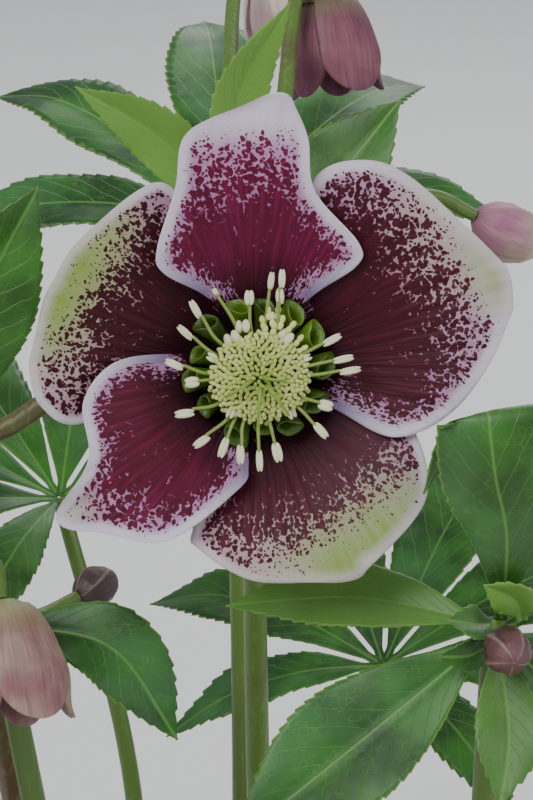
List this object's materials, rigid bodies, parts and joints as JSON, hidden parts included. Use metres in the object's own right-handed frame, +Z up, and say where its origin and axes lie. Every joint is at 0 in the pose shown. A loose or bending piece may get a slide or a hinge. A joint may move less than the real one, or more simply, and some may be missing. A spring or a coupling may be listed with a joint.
{
  "type": "potted hellebore plant",
  "caption": "Hellebore in flower in a plain clay pot: one open maroon-speckled bloom, side blooms, buds and toothed leaves.",
  "frame": {"origin": "middle of the pot's foot, on the surface it stands on", "axes": "+Z up, the open flower faces -Y and is tilted up"},
  "size_m": [0.3119, 0.2672, 0.3615],
  "materials": {
    "terracotta": "matte",
    "compost": "matte",
    "leaf": "satin",
    "stem": "satin",
    "sepal": "satin",
    "nectary": "satin",
    "anther": "matte",
    "carpel": "satin",
    "bud": "satin",
    "side_bloom": "satin"
  },
  "bodies": {
    "root": {"pot": "terracotta", "compost": "compost", "basal_leaf_1": "leaf", "basal_leaf_2": "leaf", "basal_leaf_3": "leaf", "basal_leaf_4": "leaf", "basal_leaf_5": "leaf", "basal_leaf_6": "leaf", "basal_leaf_7": "leaf", "basal_leaf_8": "leaf", "basal_leaf_9": "leaf", "flower_stem": "stem", "right_stem": "leaf", "back_stem": "leaf", "left_stem": "leaf", "sepal_top": "sepal", "sepal_right": "sepal", "sepal_lower_right": "sepal", "sepal_lower_left": "sepal", "sepal_left": "sepal", "nectaries": "nectary", "stamens": "anther", "carpels": "carpel", "right_bud": "bud", "upper_bud": "bud", "lower_left_bud": "bud", "mauve_bloom": "side_bloom", "mauve_bloom_stamens": "anther", "pale_bloom": "side_bloom", "pale_bloom_stamens": "anther", "left_bloom": "side_bloom", "left_bloom_stamens": "anther"}
  },
  "joints": []
}
